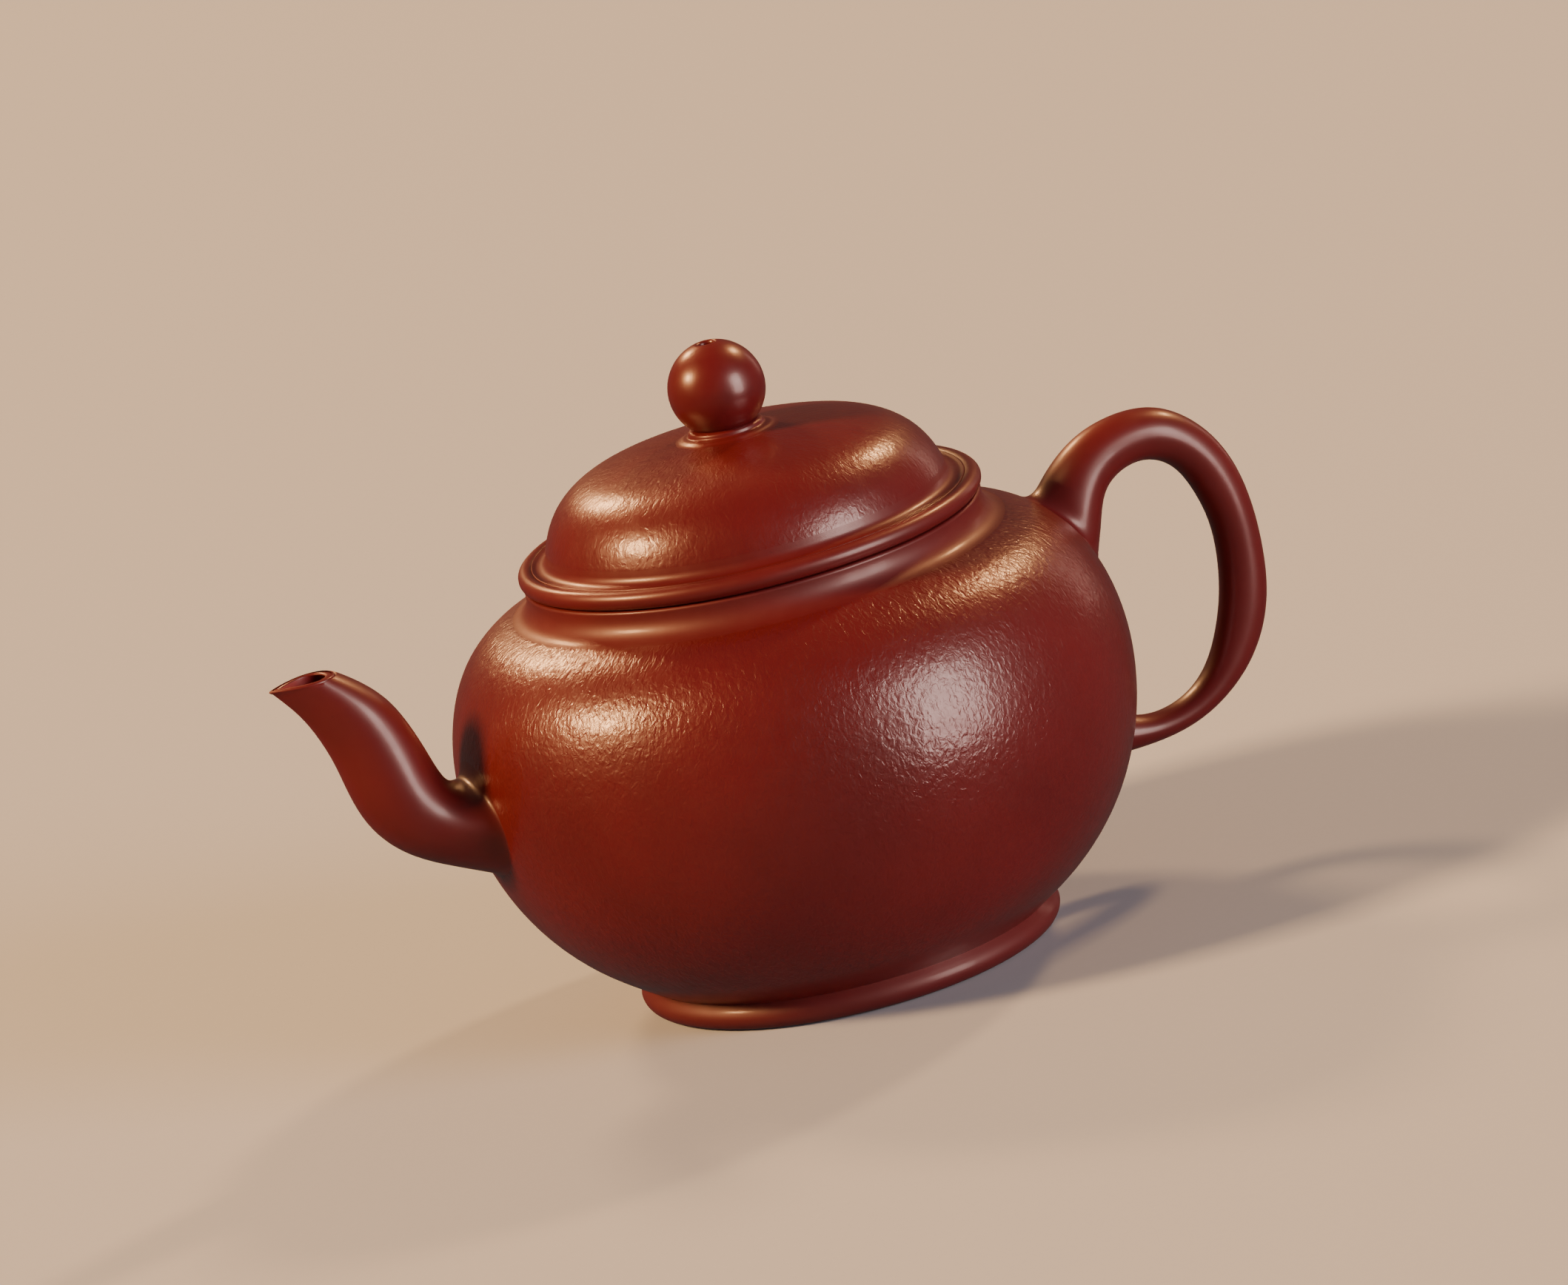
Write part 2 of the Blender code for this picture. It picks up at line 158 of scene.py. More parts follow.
# Lid: dome from the knob outwards, the seat of its bead, and its flat underside.
AIR_HOLE = 1.0
DOME = [
    (5.0, 66.75), (9.5, 66.4), (15.2, 65.4), (18.7, 64.3), (21.65, 62.3), (23.7, 59.4), (24.55, 57.2),
]
DOME_TOP = [(AIR_HOLE, 63.6), (AIR_HOLE, 66.5), (4.2, 66.8)]
LID_SEAT = [(24.7, 55.95, 1.3), (26.0, 55.85, 0.8), (26.52, 56.03, 0.1), (26.6, 55.6), (26.6, 53.92)]
LID_UNDERSIDE = [(26.6, 53.92), (22.6, 53.92), (22.35, 54.3)]
LID_WALL = 2.4
HOLLOW_EDGE_HEIGHT = 55.2
HOLLOW_TOP = [(AIR_HOLE, 64.2), (AIR_HOLE, 63.6)]
BEAD_CENTRE = (27.2, 54.92)
BEAD_RADIUS = 1.15
BEAD_ANGLES = (124, -98)
BEAD_BACK = [(26.45, 53.9), (26.45, 55.6)]
FLANGE_INSIDE = (22.8, 22.4)            # radius at its lower and upper edge
FLANGE_OVERLAP = 0.35                   # how far it runs up into the lid

# Knob and the steps under it.
COLLAR = [
    (3.7, 67.85), (4.2, 67.8), (4.55, 67.55), (4.65, 67.2), (5.0, 67.08), (5.45, 66.98), (5.8, 66.8),
    (6.3, 66.68),
]
COLLAR_FOOT = [(6.3, 66.5), (AIR_HOLE, 66.5)]
KNOB_CENTRE = 72.25
KNOB_RADIUS = 5.85
KNOB_NECK_RADIUS = 3.8
KNOB_FOOT_HEIGHT = 67.5
KNOB_BORE = [(AIR_HOLE, KNOB_FOOT_HEIGHT), (AIR_HOLE, 77.55), (1.08, 77.8)]
KNOB_BORE_EDGE = 1.35

# Clay. Noise sizes are in features per millimetre.
CLAY_DARK = (0.095, 0.0067, 0.0092)
CLAY_LIGHT = (0.118, 0.0085, 0.0116)
CLAY_IOR = 1.55
POLISH_ROUGHNESS = 0.175
WRINKLE_HEIGHT = 0.081
WRINKLE_SQUEEZE = 0.7                   # draws the wrinkles out along the height, below 1
CLOUDS = 0.06
# Size of the small dark spots of painted shade that stand for tiny pits.
PAINTED_PIT_SHADE = 2.6
FOLDS = 1.6
RIPPLES = 0.9
GRAIN = 6.0
GLOSS_PATCHES = 0.5
RIPPLE_SHARE = 0.5
GRAIN_SHARE = 0.02
GLOSS_RANGE = 0.03
STEEP_AND_LEVEL = (0.3, 0.8)            # upward slopes between which the wrinkles get deeper
LEVEL_DEPTH = 1.35

# Light: name, direction from the pot, width and height over distance, colour, radiance.
WARM = (1.0, 0.49, 0.195)
COOL = (1.0, 0.71, 0.63)
PINK = (1.0, 0.60, 0.46)
LIGHT_DISTANCE = 4.0
SOFTBOXES = [
    ("left_box", (-0.82, 0.07, 0.57), (0.18, 0.16), WARM, 200.0),
    ("front_box", (0.55, -0.78, 0.13), (0.42, 0.70), COOL, 16.5),
    ("back_left_box", (-0.15, 0.81, 0.57), (0.17, 0.12), WARM, 100.0),
    ("back_right_box", (0.69, 0.36, 0.62), (0.09, 0.09), WARM, 215.0),
    ("right_strip", (0.84, 0.50, 0.17), (0.10, 0.42), PINK, 2.8),
]
WORLD_COLOUR = (1.0, 0.86, 0.78, 1.0)
WORLD_STRENGTH = 0.09

# Floor and backdrop, in metres.
BACKDROP_RADIUS = 6.0
BACKDROP_SEGMENTS = 96
BACKDROP_FOOT = -0.1
BACKDROP_COLOUR = (0.90, 0.61, 0.43, 1.0)
FLOOR_HEIGHT = -0.02 * MM
PAPER_DARK = (0.46, 0.56, 0.67, 1.0)
PAPER_LIGHT = (0.48, 0.58, 0.69, 1.0)
BLACK = (0.0, 0.0, 0.0, 1.0)
GLOW_START = 1.0

# Blender's Mix node has no unique names for its colour sockets.
MIX_FIRST, MIX_SECOND, MIX_RESULT = 6, 7, 2


# ---------------------------------------------------------------- curves

def resample(points, count):
    """Points at even distances along a polyline, in any number of dimensions."""
    points = np.asarray(points, float)
    steps = np.linalg.norm(np.diff(points, axis=0), axis=1)
    along = np.concatenate([[0.0], np.cumsum(steps)])
    wanted = np.linspace(0.0, along[-1], count)
    return np.stack([np.interp(wanted, along, column) for column in points.T], axis=1)


def knot_bends(points, gaps):
    """Second derivatives of the natural cubic spline at its knots."""
    last = len(points) - 1
    matrix = np.eye(last + 1)
    bend = np.zeros_like(points)
    for i in range(1, last):
        matrix[i, i - 1:i + 2] = gaps[i - 1], 2 * (gaps[i - 1] + gaps[i]), gaps[i]
        slope_after = (points[i + 1] - points[i]) / gaps[i]
        slope_before = (points[i] - points[i - 1]) / gaps[i - 1]
        bend[i] = 6 * (slope_after - slope_before)
    return np.linalg.solve(matrix, bend)


def spline(points, count):
    """Natural cubic spline through the points, sampled at even distances."""
    points = np.asarray(points, float)
    gaps = np.linalg.norm(np.diff(points, axis=0), axis=1)
    bend = knot_bends(points, gaps)
    knots = np.concatenate([[0.0], np.cumsum(gaps)])
    t = np.linspace(0.0, knots[-1], 12 * count)
    k = np.clip(np.searchsorted(knots, t, side="right") - 1, 0, len(gaps) - 1)
    span = gaps[k][:, None]
    after = (t - knots[k])[:, None]
    before = span - after
    curve = (bend[k] * before ** 3 + bend[k + 1] * after ** 3) / (6 * span)
    curve += (points[k] / span - bend[k] * span / 6) * before
    curve += (points[k + 1] / span - bend[k + 1] * span / 6) * after
    return resample(curve, count)


def offset(points, distance):
    """A curve moved sideways, to the left of its direction for a positive distance."""
    along = np.gradient(np.asarray(points, float), axis=0)
    along /= np.linalg.norm(along, axis=1)[:, None]
    return points + distance * np.stack([-along[:, 1], along[:, 0]], axis=1)


def arc(centre, radius, start, end, count):
    """Points on a circular arc; 0 degrees points outwards and 90 degrees up."""
    angles = np.radians(np.linspace(start, end, count))
    return np.stack([centre[0] + radius * np.cos(angles), centre[1] + radius * np.sin(angles)], 1)


def rounded_corner(before, corner, after, degrees_per_step=12.0):
    """Arc of the corner's own radius, its third value, between the corners on either side."""
    here = np.array(corner[:2], float)
    back = np.array(before[:2], float) - here
    ahead = np.array(after[:2], float) - here
    back /= np.linalg.norm(back)
    ahead /= np.linalg.norm(ahead)
    inside = math.acos(np.clip(back @ ahead, -1.0, 1.0))
    reach = corner[2] / math.tan(inside / 2)
    to_centre = (back + ahead) / np.linalg.norm(back + ahead)
    centre = here + to_centre * (corner[2] / math.sin(inside / 2))
    start = here + back * reach - centre
    end = here + ahead * reach - centre
    turn = math.pi - inside
    steps = max(3, round(math.degrees(turn) / degrees_per_step))
    points = []
    for step in range(steps + 1):
        part = step / steps
        swung = math.sin((1 - part) * turn) * start + math.sin(part * turn) * end
        points.append(centre + swung / math.sin(turn))
    return points


def rounded(corners):
    """Outline through corners; one with a third value is rounded to that radius."""
    outline = []
    for i, corner in enumerate(corners):
        if len(corner) < 3:
            outline.append(np.array(corner, float))
        else:
            outline += rounded_corner(corners[i - 1], corner, corners[(i + 1) % len(corners)])
    return np.array(outline)


def chain(*pieces):
    """One outline from several."""
    return np.concatenate([np.asarray(piece, float).reshape(-1, 2) for piece in pieces])


BELLY_CURVE = spline(BELLY, BELLY_ROWS)


def belly_radius(height):
    """Outer radius of the belly at a height."""
    return np.interp(height, BELLY_CURVE[:, 1], BELLY_CURVE[:, 0])


# ---------------------------------------------------------------- meshes

def unevenness(point):
    """Slight waviness left by hand work, the same for every piece, and none on the foot's flat."""
    fade = min(1.0, point.z / (EVEN_FOOT_HEIGHT * MM))
    broad = noise.noise_vector(point * BROAD_WAVES[0]) * BROAD_WAVES[1]
    small = noise.noise_vector(point * SMALL_WAVES[0]) * SMALL_WAVES[1]
    return (broad + small) * MM * fade


def skin(rings, ends=False):
    """Quads between consecutive rings; the last ring joins the first, or ends leaves both open."""
    rings = [np.asarray(ring) for ring in rings]
    count = len(rings[0])
    faces = []
    for a in range(len(rings) - (1 if ends else 0)):
        b = (a + 1) % len(rings)
        for k in range(count):
            after = (k + 1) % count
            faces.append((a * count + k, a * count + after, b * count + after, b * count + k))
    return np.concatenate(rings), faces


def merge(*skins):
    """Several skins as one list of points and faces."""
    points = []
    faces = []
    for skin_points, skin_faces in skins:
        shift = sum(len(earlier) for earlier in points)
        points.append(skin_points)
        faces += [tuple(i + shift for i in face) for face in skin_faces]
    return np.concatenate(points), faces


def turned(outline, segments=TURNED_SEGMENTS, ends=False):
    """Rings of a turned outline, joined back to its start unless both ends lie on the axis."""
    angles = np.linspace(0.0, math.tau, segments, endpoint=False)
    rings = []
    for r, z in outline:
        rings.append(np.stack([r * np.cos(angles), r * np.sin(angles), np.full(segments, z)], 1))
    return skin(rings, ends)


def piece(name, body, nodes, skins, materials, sharp=50.0):
    """A mesh object in metres that rides on a body and stands for CAD nodes."""
    bm = bmesh.new()
    for slot_index, (points, faces) in enumerate(skins):
        verts = [bm.verts.new(point * MM) for point in points]
        for face in faces:
            made = bm.faces.new([verts[i] for i in face])
            made.material_index = min(slot_index, len(materials) - 1)
    bmesh.ops.remove_doubles(bm, verts=bm.verts, dist=MERGE_DISTANCE * MM)
    bmesh.ops.recalc_face_normals(bm, faces=bm.faces)
    for vert in bm.verts:
        vert.co += unevenness(vert.co)
    mesh = bpy.data.meshes.new(name)
    bm.to_mesh(mesh)
    bm.free()
    for material in materials:
        mesh.materials.append(material)
    mesh.shade_smooth()
    mesh.set_sharp_from_angle(angle=math.radians(sharp))
    obj = bpy.data.objects.new(name, mesh)
    bpy.context.scene.collection.objects.link(obj)
    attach(obj, body)
    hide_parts(*nodes)
    return obj


def cut(target, points, faces):
    """Cut a closed shape out of a piece for good."""
    mesh = bpy.data.meshes.new("cutter")
    mesh.from_pydata([tuple(point * MM) for point in points], [], faces)
    cutter = bpy.data.objects.new("cutter", mesh)
    bpy.context.scene.collection.objects.link(cutter)
    boolean = target.modifiers.new("cut", "BOOLEAN")
    boolean.operation = "DIFFERENCE"
    boolean.solver = "EXACT"
    boolean.object = cutter
    graph = bpy.context.evaluated_depsgraph_get()
    result = bpy.data.meshes.new_from_object(target.evaluated_get(graph))
    target.modifiers.clear()
    target.data = result
    bpy.data.objects.remove(cutter)


def drill(radius, start, end, segments):
    """Closed cylinder between two points, as points and faces."""
    start, end = Vector(start), Vector(end)
    turn = Vector((0, 0, 1)).rotation_difference(end - start).to_matrix()
    rings = []
    for centre in (start, end):
        ring = []
        for k in range(segments):
            angle = math.tau * k / segments
            ring.append(centre + turn @ Vector((math.cos(angle), math.sin(angle), 0)) * radius)
        rings.append(np.array(ring))
    points, faces = skin(rings, ends=True)
    faces.append(tuple(range(segments))[::-1])
    faces.append(tuple(range(segments, 2 * segments)))
    return points, faces


# ---------------------------------------------------------------- clay

def add_node(tree, kind, inputs=None, **settings):
    """A shader node; an input's value is a constant or another node's output."""
    made = tree.nodes.new(kind)
    for key, value in settings.items():
        setattr(made, key, value)
    for key, value in (inputs or {}).items():
        socket = made.inputs[key]
        if isinstance(value, bpy.types.NodeSocket):
            tree.links.new(value, socket)
        else:
            socket.default_value = value
    return made


def vector_math(tree, operation, a, b):
    slots = {0: a, "Scale" if operation == "SCALE" else 1: b}
    return add_node(tree, "ShaderNodeVectorMath", slots, operation=operation).outputs["Vector"]


def vector_length(tree, vector):
    return add_node(tree, "ShaderNodeVectorMath", {0: vector}, operation="LENGTH").outputs["Value"]


def value_math(tree, operation, a, b):
    return add_node(tree, "ShaderNodeMath", {0: a, 1: b}, operation=operation).outputs["Value"]


def noise_at(tree, vector, per_mm, detail, distortion=0.0):
    """Noise with so many features per millimetre."""
    scaled = vector_math(tree, "SCALE", vector, per_mm / MM)
    settings = {"Vector": scaled, "Scale": 1.0, "Detail": detail, "Distortion": distortion}
    return add_node(tree, "ShaderNodeTexNoise", settings).outputs["Fac"]


def smooth_range(tree, value, start, end, low=0.0, high=1.0):
    """A value that turns smoothly from low at start to high at end."""
    settings = {"Value": value, "From Min": start, "From Max": end, "To Min": low, "To Max": high}
    made = add_node(tree, "ShaderNodeMapRange", settings, interpolation_type="SMOOTHSTEP")
    return made.outputs["Result"]


def ramp(tree, value, low, high):
    """Colour between two stops, each a position and a colour."""
    made = add_node(tree, "ShaderNodeValToRGB", {"Fac": value})
    for element, (position, colour) in zip(made.color_ramp.elements, (low, high)):
        element.position = position
        element.color = (*colour, 1.0)
    return made.outputs["Color"]


def mix_colours(tree, factor, first, second, blend_type="MIX"):
    sockets = {"Factor": factor, MIX_FIRST: first, MIX_SECOND: second}
    made = add_node(tree, "ShaderNodeMix", sockets, data_type="RGBA", blend_type=blend_type)
    return made.outputs[MIX_RESULT]


def grey(level):
    return (level, level, level)


def mottled_red(tree, place, tone):
    """The clay's two reds in soft clouds, with small spots of painted shade standing for tiny pits."""
    dark = [part * tone for part in CLAY_DARK]
    light = [part * tone for part in CLAY_LIGHT]
    clouds = ramp(tree, noise_at(tree, place, CLOUDS, detail=4.0), (0.30, dark), (0.70, light))
    # Painted shade: small dark spots multiplied into the red where tiny pits would lie in shade.
    pit_shade_noise = noise_at(tree, place, PAINTED_PIT_SHADE, detail=1.0)
    painted_pit_shade = ramp(tree, pit_shade_noise, (0.22, grey(0.85)), (0.30, grey(1.0)))
    return mix_colours(tree, 1.0, clouds, painted_pit_shade, blend_type="MULTIPLY")


def wrinkle_relief(tree, coordinates, wrinkles, fade, wrap):
    """Height of folds, ripples and grain, as a share of WRINKLE_HEIGHT.

    The folds and ripples are drawn out along the outline, up the sides and in towards the axis,
    and they get deeper where the clay faces up.
    """
    place = coordinates["Object"]
    flat = vector_math(tree, "MULTIPLY", place, (1.0, 1.0, 0.0))
    distance = vector_length(tree, flat)
    closeness = value_math(tree, "POWER", value_math(tree, "DIVIDE", wrap * MM, distance), 0.5)
    around = vector_math(tree, "SCALE", flat, closeness)
    upwards = vector_math(tree, "MULTIPLY", place, (0.0, 0.0, WRINKLE_SQUEEZE))
    drawn_out = vector_math(tree, "ADD", around, upwards)
    folds = noise_at(tree, drawn_out, FOLDS, detail=2.0, distortion=0.8)
    ripples = noise_at(tree, drawn_out, RIPPLES, detail=1.0, distortion=0.4)
    relief = value_math(tree, "ADD", folds, value_math(tree, "MULTIPLY", ripples, RIPPLE_SHARE))
    relief = value_math(tree, "MULTIPLY", relief, wrinkles)
    slope = add_node(tree, "ShaderNodeSeparateXYZ", {0: coordinates["Normal"]}).outputs["Z"]
    deeper = smooth_range(tree, slope, *STEEP_AND_LEVEL, low=1.0, high=LEVEL_DEPTH)
    relief = value_math(tree, "MULTIPLY", relief, deeper)
    if fade:
        strength = smooth_range(tree, distance, fade[0] * MM, fade[1] * MM)
        relief = value_math(tree, "MULTIPLY", relief, strength)
    grain = value_math(tree, "MULTIPLY", noise_at(tree, place, GRAIN, detail=1.0), GRAIN_SHARE)
    return value_math(tree, "ADD", relief, grain)


def clay(name, wrinkles=0.06, roughness=0.40, polish=0.15, tone=1.0, fade=None, wrap=36.0):
    """Burnished red clay: mottled, finely wrinkled, with a satin gloss and a sharper one over it.

    wrinkles is how deep the folds and ripples are, and polish the weight of the sharper gloss.
    tone multiplies the red; above 1 it paints light into clay that little light reaches. fade gives the
    radius where the wrinkles vanish and the one where they are full. wrap is the radius where the
    wrinkles are as wide as their noise is.
    """
    material = bpy.data.materials.new(name)
    material.use_nodes = True
    tree = material.node_tree
    shader = tree.nodes["Principled BSDF"]
    coordinates = add_node(tree, "ShaderNodeTexCoord").outputs
    place = coordinates["Object"]

    tree.links.new(mottled_red(tree, place, tone), shader.inputs["Base Color"])
    relief = wrinkle_relief(tree, coordinates, wrinkles, fade, wrap)
    bump = add_node(tree, "ShaderNodeBump", {"Height": relief, "Distance": WRINKLE_HEIGHT * MM})
    tree.links.new(bump.outputs["Normal"], shader.inputs["Normal"])
    tree.links.new(bump.outputs["Normal"], shader.inputs["Coat Normal"])

    patches = noise_at(tree, place, GLOSS_PATCHES, detail=3.0)
    smoothest, roughest = grey(roughness - GLOSS_RANGE), grey(roughness + GLOSS_RANGE)
    gloss = ramp(tree, patches, (0.3, smoothest), (0.7, roughest))
    tree.links.new(gloss, shader.inputs["Roughness"])
    shader.inputs["IOR"].default_value = CLAY_IOR
    shader.inputs["Coat Weight"].default_value = polish
    shader.inputs["Coat Roughness"].default_value = POLISH_ROUGHNESS
    return material


# ---------------------------------------------------------------- pot

def make_pot_body(outside, neck_clay, inside):
    """Belly, shoulder, neck and base in one skin, as the luted and burnished pot shows them."""
    neck = rounded([tuple(BELLY_CURVE[-1]), NECK_CORNER, LIP_CORNER, *NECK_INSIDE])[1:]
    inner_wall = offset(BELLY_CURVE, WALL)[::-1]
    low, high = INNER_WALL_SPAN
    inner_wall = inner_wall[(inner_wall[:, 1] < high) & (inner_wall[:, 1] > low)]
    floor = rounded([tuple(inner_wall[-1]), FLOOR_CORNER, (0.0, FLOOR_INSIDE)])[1:]
    outer_part = chain(UNDERSIDE, BELLY_CURVE)
    neck_part = chain(BELLY_CURVE[-1], neck[:-1])
    inner_part = chain(neck[-2:], inner_wall, floor)
    obj = piece(
        "pot_body", "pot", ["body_wall", "shoulder_plate", "neck_ring", "base_plate"],
        [turned(part, ends=True) for part in (outer_part, neck_part, inner_part)],
        [outside, neck_clay, inside],
    )
    height = SPOUT_ROOT[0]
    wall = belly_radius(height)
    cut(obj, *drill(SPOUT_BORE, (-wall - 4, 0, height), (-wall + 8, 0, height), segments=64))


def make_foot_ring(material):
    outline = chain(spline(FOOT_BAND, 28), rounded(FOOT_INSIDE))
    piece("foot_ring_band", "pot", ["foot_ring"], [turned(outline)], [material])


def tube_ring(section, inset=0.0):
    """Ring round a section: an ellipse whose front can narrow to a point."""
    front, back = np.array(section[:2], float), np.array(section[2:4], float)
    half_width = section[4]
    pointed = section[5] if len(section) > 5 else 0.0
    centre, reach = (front + back) / 2, (front - back) / 2
    reach = reach * (1.0 - inset * (1.0 + POINTED_INSET * pointed) / np.linalg.norm(reach))
    point_shape = np.sqrt((1.0 - np.cos(AROUND)) / 2)
    narrow = 1.0 - pointed + pointed * POINTED_FULLNESS * point_shape
    y = (half_width - inset) * np.sin(AROUND) * narrow
    return np.stack([centre[0] + reach[0] * np.cos(AROUND), y, centre[1] + reach[1] * np.cos(AROUND)], 1)


def root_ring(side, root, first_up, lift=0.0, spread=0.0):
    """Ring round a root, on the belly's surface; spread widens it by a value for each point."""
    height, half_height, half_width = root
    z = height + first_up * (half_height + spread) * np.cos(AROUND)
    y = (half_width + spread) * np.sin(AROUND)
    x = side * np.sqrt((belly_radius(z) + lift) ** 2 - y ** 2)
    return np.stack([x, y, z], 1)


def sweep(knot_rings, rows):
    """Rings of a smooth skin through a few rings."""
    knots = np.array(knot_rings)
    return list(spline(knots.reshape(len(knots), -1), rows).reshape(rows, -1, 3))


def flare(rings, corner_ring, foot_ring, sunk_ring, steps=9):
    """Ends a skin on the belly: each line of points turns the corner to the foot ring."""
    start = rings[-1]
    for step in range(1, steps + 1):
        u = math.sin(math.pi / 2 * step / steps)
        rings.append((1 - u) ** 2 * start + 2 * u * (1 - u) * corner_ring + u ** 2 * foot_ring)
    rings.append(sunk_ring)


def far_from(rings, ring, distance):
    """The rings of which some point is further from its point on another ring."""
    return [each for each in rings if np.abs(each - ring).max() > distance]


def spout_outside():
    """Rings from just under the lip down to the fillet on the belly."""
    corner = root_ring(-1, SPOUT_ROOT, -1)
    rings = sweep([tube_ring(section) for section in SPOUT_SECTIONS] + [corner], 64)[1:]
    rings = far_from(rings, corner, SPOUT_FILLET_START)
    fillet = SPOUT_FILLET[0] + SPOUT_FILLET[1] * np.clip(-np.cos(AROUND), 0.0, 1.0) ** 3
    flare(rings, corner, root_ring(-1, SPOUT_ROOT, -1, spread=fillet),
          root_ring(-1, SPOUT_ROOT, -1, lift=-0.5, spread=fillet))
    return rings


def spout_lip_ring(inset, drop):
    ring = tube_ring(SPOUT_SECTIONS[0], inset)
    ring[:, 2] -= drop
    return ring


def spout_bore(mouth):
    """Rings down the inside, from the lip to the hole in the belly's wall."""
    bore = [tube_ring(s, wall) for s, wall in zip(SPOUT_SECTIONS[1:], SPOUT_WALLS[1:])]
    hole = root_ring(-1, (SPOUT_ROOT[0], SPOUT_BORE, SPOUT_BORE), -1)
    return sweep([mouth] + bore + [hole], 48)


def make_spout(outside, inside):
    rings = spout_outside()
    lip = [spout_lip_ring(inset, drop) for inset, drop in SPOUT_LIP_OUTSIDE]
    lip_inside = [spout_lip_ring(SPOUT_WALLS[0] + inset, drop) for inset, drop in SPOUT_LIP_INSIDE]
    bore = spout_bore(lip_inside[-1])
    lip_skin = skin(lip[::-1] + lip_inside, ends=True)
    outer_skin = skin([lip[0]] + rings, ends=True)
    inner_skin = skin([lip_inside[-1]] + bore[1:] + [rings[-1]], ends=True)
    piece("spout_tube", "pot", ["spout"], [merge(lip_skin, outer_skin), inner_skin], [outside, inside])


def strainer_bowl(centre, size):
    """Rings of a dome round a centre, open towards -X, with a short straight skirt."""
    rings = []
    for tilt in np.linspace(0.0, 84.0, 22):
        a = math.radians(tilt)
        rings.append(centre + np.stack([
            np.full(SECTION_POINTS, size * math.cos(a)), size * math.sin(a) * np.sin(AROUND),
            size * math.sin(a) * np.cos(AROUND)], 1))
    rings.append(rings[-1] - np.array([STRAINER_SKIRT, 0.0, 0.0]))
    return rings


def strainer_holes(centre, radius):
    """Drills through the dome, one in the middle and two rings of them."""
    holes = []
    for tilt, number in STRAINER_HOLES:
        lean = math.radians(tilt)
        for k in range(number):
            turn = math.tau * (k + 0.5) / number
            way = np.array([
                math.cos(lean), math.sin(lean) * math.cos(turn), math.sin(lean) * math.sin(turn)])
            start, end = centre + way * (radius - 2.0), centre + way * (radius + 0.8)
            holes.append(drill(STRAINER_HOLE, start, end, segments=20))
    return merge(*holes)


def make_ball_strainer(material):
    low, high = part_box("ball_strainer")
    radius = (high.z - low.z) / 2 / MM
    centre = np.array([high.x / MM - radius, 0.0, SPOUT_ROOT[0]])
    outer = strainer_bowl(centre, radius)
    inner = strainer_bowl(centre, radius - STRAINER_WALL)
    shell = skin(outer + inner[::-1], ends=True)
    obj = piece("strainer_dome", "pot", ["ball_strainer"], [shell], [material])
    cut(obj, *strainer_holes(centre, radius))


def end_point(ring):
    """A ring drawn together to one point inside the belly's wall."""
    return np.tile(ring.mean(axis=0) * [END_DEPTH, 1, 1], (SECTION_POINTS, 1))


def make_handle(material):
    upper, lower = root_ring(1, UPPER_ROOT, 1), root_ring(1, LOWER_ROOT, -1)
    rings = sweep([upper] + [tube_ring(section) for section in HANDLE_SECTIONS] + [lower], 130)
    rings = far_from(far_from(rings, upper, UPPER_FILLET_START), lower, LOWER_FILLET_START)
    upper_fillet = UPPER_FILLET[0] + UPPER_FILLET[1] * np.clip(-np.cos(AROUND), 0.0, 1.0)
    flare(rings, lower, root_ring(1, LOWER_ROOT, -1, spread=LOWER_FILLET),
          root_ring(1, LOWER_ROOT, -1, lift=-0.4, spread=LOWER_FILLET))
    rings.append(end_point(rings[-1]))
    rings.reverse()
    flare(rings, upper, root_ring(1, UPPER_ROOT, 1, spread=upper_fillet),
          root_ring(1, UPPER_ROOT, 1, lift=-0.4, spread=upper_fillet))
    rings.append(end_point(rings[-1]))
    piece("handle_ear", "pot", ["handle"], [skin(rings, ends=True)], [material])


# ---------------------------------------------------------------- lid

def make_lid_dome(outside, seat_clay, inside):
    dome = spline(DOME, 60)
    seat = rounded([tuple(dome[-2]), *LID_SEAT])[1:]
    under = offset(dome, -LID_WALL)[::-1]
    under = under[under[:, 1] > HOLLOW_EDGE_HEIGHT]
    outer_part = chain(DOME_TOP, dome[:-1])
    seat_part = chain(dome[-2], seat)
    inner_part = chain(LID_UNDERSIDE, under, HOLLOW_TOP)
    skins = [turned(part, ends=True) for part in (outer_part, seat_part, inner_part)]
    piece("lid_dome", "lid", ["lid_plate"], skins, [outside, seat_clay, inside])


def make_lid_bead(material):
    outline = chain(arc(BEAD_CENTRE, BEAD_RADIUS, *BEAD_ANGLES, 34), BEAD_BACK)
    piece("lid_bead", "lid", ["lid_rim"], [turned(outline)], [material], sharp=70.0)


def make_lid_collar(material):
    low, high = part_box("lid_flange")
    bottom, radius = low.z / MM, high.x / MM
    top = high.z / MM + FLANGE_OVERLAP
    outline = rounded([
        (radius, top), (radius - 0.1, bottom, 0.7), (FLANGE_INSIDE[0], bottom, 0.5),
        (FLANGE_INSIDE[1], top),
    ])
    piece("lid_collar", "lid", ["lid_flange"], [turned(outline)], [material])


def make_knob_collar(material):
    steps = spline(COLLAR, 40)
    outline = chain([(AIR_HOLE, steps[0][1])], steps, COLLAR_FOOT)
    piece("knob_steps", "lid", ["knob_collar"], [turned(outline, KNOB_SEGMENTS)], [material])


def make_knob(material):
    top = math.degrees(math.acos(KNOB_BORE_EDGE / KNOB_RADIUS))
    bottom = -math.degrees(math.acos(KNOB_NECK_RADIUS / KNOB_RADIUS))
    ball = arc((0.0, KNOB_CENTRE), KNOB_RADIUS, top, bottom, 64)
    outline = chain(KNOB_BORE, ball, (KNOB_NECK_RADIUS, KNOB_FOOT_HEIGHT))
    piece("knob_ball", "lid", ["knob"], [turned(outline, KNOB_SEGMENTS)], [material])


# ---------------------------------------------------------------- studio

